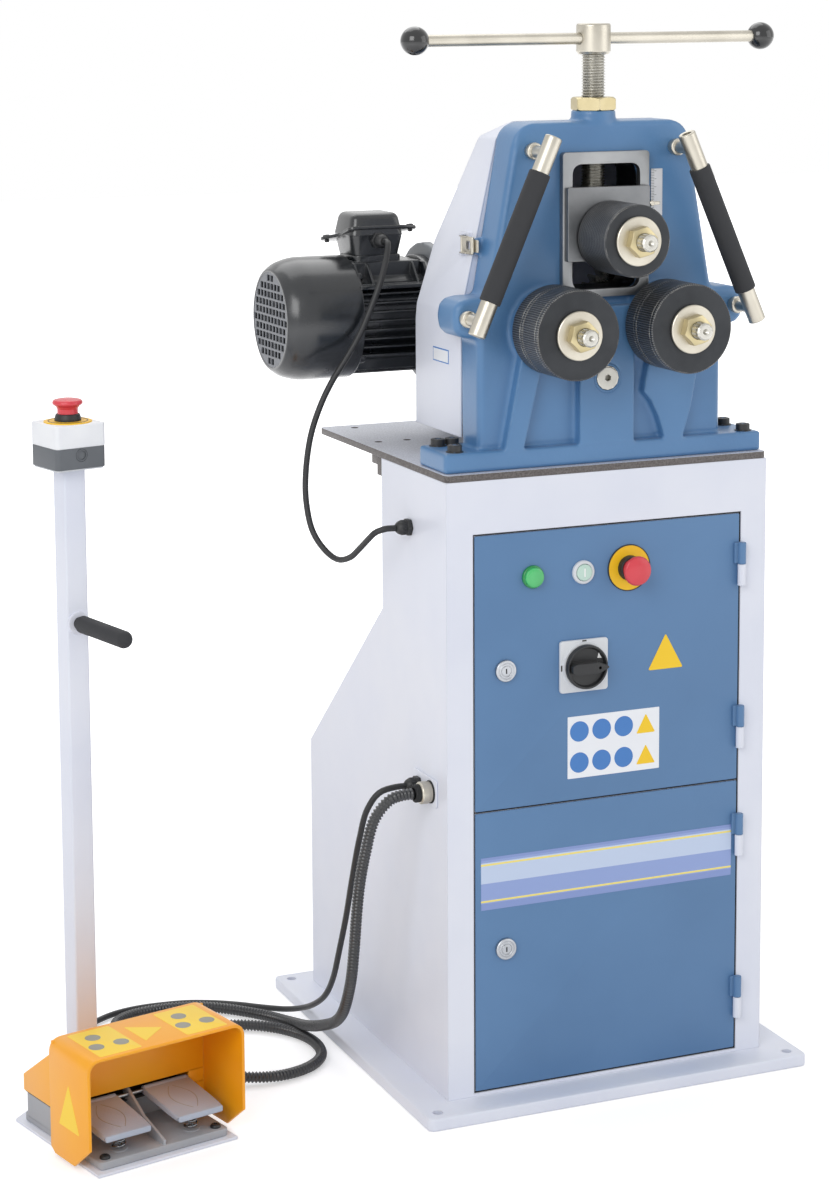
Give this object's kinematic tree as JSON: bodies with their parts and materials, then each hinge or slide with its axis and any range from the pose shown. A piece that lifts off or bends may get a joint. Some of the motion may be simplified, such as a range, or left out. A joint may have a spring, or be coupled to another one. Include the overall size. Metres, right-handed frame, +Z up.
{
  "type": "ring roller",
  "caption": "Powered roll bender on a cabinet, with screw-down upper roller, geared lower rollers and a separate foot pedal console with a stop post.",
  "frame": {"origin": "middle of the underside of the machine's base plate, on the floor", "axes": "+X to the right seen from the doors, -Y towards the person at the doors and rollers, +Z up"},
  "size_m": [1.0036, 0.619, 1.364],
  "materials": {
    "white_paint": "satin bluish white paint",
    "blue_paint": "satin mid blue paint",
    "motor_paint": "gloss black paint",
    "drive_paint": "satin grey paint",
    "roller_steel": "black oxide, turned",
    "machined_steel": "turned and ground",
    "deck_steel": "rolled plate",
    "zinc_gold": "pale gold zinc plate",
    "bright_zinc": "bright plate",
    "black_plastic": "satin moulding",
    "gloss_black": "polished moulding",
    "grip_rubber": "matt",
    "red_plastic": "satin moulding",
    "yellow_plastic": "satin moulding",
    "green_plastic": "satin moulding",
    "lamp_lens": "clear pale green moulding",
    "cast_grey": "cast, lightly blasted",
    "spring_steel": "drawn wire",
    "shield_yellow": "powder coat",
    "box_plastic": "satin moulding",
    "cable_sheath": "satin sheath",
    "conduit_sheath": "ribbed plastic"
  },
  "bodies": {
    "frame": {"base_plate": "white_paint", "cabinet": "white_paint", "machine_plate": "deck_steel", "head_casting": "blue_paint", "guide_plate": "machined_steel", "screw_nut": "machined_steel", "left_grab_bar": "bright_zinc", "right_grab_bar": "bright_zinc", "left_grip": "grip_rubber", "right_grip": "grip_rubber", "rear_cover": "white_paint", "gearbox": "drive_paint", "motor_body": "motor_paint", "fan_cowl": "motor_paint", "terminal_box": "motor_paint", "motor_cable_gland": "black_plastic", "conduit_gland": "bright_zinc", "motor_cable": "cable_sheath", "foot_conduit": "conduit_sheath", "estop_cable": "cable_sheath", "console_plate": "white_paint", "pedal_base": "cast_grey", "left_pedal_spring": "spring_steel", "right_pedal_spring": "spring_steel", "pedal_shield": "shield_yellow", "post": "white_paint", "post_grip": "grip_rubber", "post_box": "box_plastic"},
    "upper_door": {"upper_door": "blue_paint", "pilot_lamp": "green_plastic", "estop_collar": "yellow_plastic", "switch_plate": "box_plastic"},
    "lower_door": {"lower_door": "blue_paint"},
    "upper_lock": {"upper_lock": "bright_zinc"},
    "lower_lock": {"lower_lock": "bright_zinc"},
    "start_button": {"start_button": "lamp_lens"},
    "estop_mushroom": {"estop_mushroom": "red_plastic"},
    "switch_knob": {"switch_knob": "black_plastic"},
    "slide": {"slide_block": "machined_steel"},
    "screw": {"pressure_screw": "machined_steel", "cross_bar": "zinc_gold", "left_ball_knob": "gloss_black", "right_ball_knob": "gloss_black"},
    "upper_roller": {"upper_shaft": "machined_steel", "upper_roller": "roller_steel", "upper_clamp_nut": "zinc_gold"},
    "left_roller": {"left_shaft": "machined_steel", "left_roller_rear": "roller_steel", "left_roller_front": "roller_steel", "left_clamp_nut": "zinc_gold"},
    "right_roller": {"right_shaft": "machined_steel", "right_roller_rear": "roller_steel", "right_roller_front": "roller_steel", "right_clamp_nut": "zinc_gold"},
    "pinion": {"pinion_shaft": "machined_steel"},
    "left_latch": {"left_latch": "bright_zinc"},
    "right_latch": {"right_latch": "bright_zinc"},
    "left_pedal": {"left_pedal": "cast_grey"},
    "right_pedal": {"right_pedal": "cast_grey"},
    "post_estop": {"post_estop": "red_plastic"}
  },
  "joints": [
    {"name": "upper_door_hinge", "type": "hinge", "parent": "frame", "child": "upper_door", "pos_m": [0.18775, -0.2383, 0.56175], "axis": [0, 0, 1], "range_deg": [0, 110]},
    {"name": "lower_door_hinge", "type": "hinge", "parent": "frame", "child": "lower_door", "pos_m": [0.18775, -0.2383, 0.20375], "axis": [0, 0, 1], "range_deg": [0, 110]},
    {"name": "upper_lock_turn", "type": "hinge", "parent": "upper_door", "child": "upper_lock", "pos_m": [-0.1455, -0.233, 0.5655], "axis": [0, 1, 0], "range_deg": [0, 90]},
    {"name": "lower_lock_turn", "type": "hinge", "parent": "lower_door", "child": "lower_lock", "pos_m": [-0.1455, -0.233, 0.2055], "axis": [0, 1, 0], "range_deg": [0, 90]},
    {"name": "start_press", "type": "slide", "parent": "upper_door", "child": "start_button", "axis": [0, 1, 0], "range_m": [0, 0.0035], "stiffness_N_per_m": 700, "springref_m": -0.002},
    {"name": "estop_press", "type": "slide", "parent": "upper_door", "child": "estop_mushroom", "axis": [0, 1, 0], "range_m": [0, 0.004]},
    {"name": "mains_turn", "type": "hinge", "parent": "upper_door", "child": "switch_knob", "pos_m": [-0.0377, -0.233, 0.562], "axis": [0, 1, 0], "range_deg": [0, 90]},
    {"name": "screw_turn", "type": "hinge", "parent": "slide", "child": "screw", "pos_m": [0, -0.1825, 1.327], "axis": [0, 0, 1], "range_deg": [-3700, 2466]},
    {"name": "slide_travel", "type": "slide", "parent": "frame", "child": "slide", "axis": [0, 0, 1], "range_m": [-0.036, 0.024]},
    {"name": "upper_spin", "type": "hinge", "parent": "slide", "child": "upper_roller", "pos_m": [0, -0.233, 1.102], "axis": [0, 1, 0], "continuous": true},
    {"name": "left_spin", "type": "hinge", "parent": "frame", "child": "left_roller", "pos_m": [-0.078, -0.233, 0.99], "axis": [0, 1, 0], "continuous": true},
    {"name": "right_spin", "type": "hinge", "parent": "frame", "child": "right_roller", "pos_m": [0.078, -0.233, 0.99], "axis": [0, 1, 0], "continuous": true},
    {"name": "pinion_spin", "type": "hinge", "parent": "frame", "child": "pinion", "pos_m": [0, -0.233, 0.92427], "axis": [0, 1, 0], "continuous": true},
    {"name": "left_latch_lever", "type": "hinge", "parent": "frame", "child": "left_latch", "pos_m": [-0.15661, -0.131, 1.091], "axis": [0, 0, -1], "range_deg": [0, 90]},
    {"name": "right_latch_lever", "type": "hinge", "parent": "frame", "child": "right_latch", "pos_m": [0.15661, -0.131, 1.091], "axis": [0, 0, 1], "range_deg": [0, 90]},
    {"name": "left_pedal_press", "type": "hinge", "parent": "frame", "child": "left_pedal", "pos_m": [-0.66147, -0.13946, 0.051], "axis": [0.9759, 0.2181, 0], "range_deg": [0, 7], "stiffness_Nm_per_rad": 12, "springref_deg": -5.73, "deforming": ["left_pedal_spring"]},
    {"name": "right_pedal_press", "type": "hinge", "parent": "frame", "child": "right_pedal", "pos_m": [-0.56193, -0.11721, 0.051], "axis": [0.9759, 0.2181, 0], "range_deg": [0, 7], "stiffness_Nm_per_rad": 12, "springref_deg": -5.73, "deforming": ["right_pedal_spring"]},
    {"name": "post_estop_press", "type": "slide", "parent": "frame", "child": "post_estop", "axis": [0, 0, -1], "range_m": [0, 0.004]}
  ],
  "couplings": [
    {"joint": "slide_travel", "follows": "screw_turn", "m_per_rad": 0.00055704},
    {"joint": "right_spin", "follows": "left_spin", "ratio": 1},
    {"joint": "pinion_spin", "follows": "left_spin", "ratio": -2.4}
  ]
}
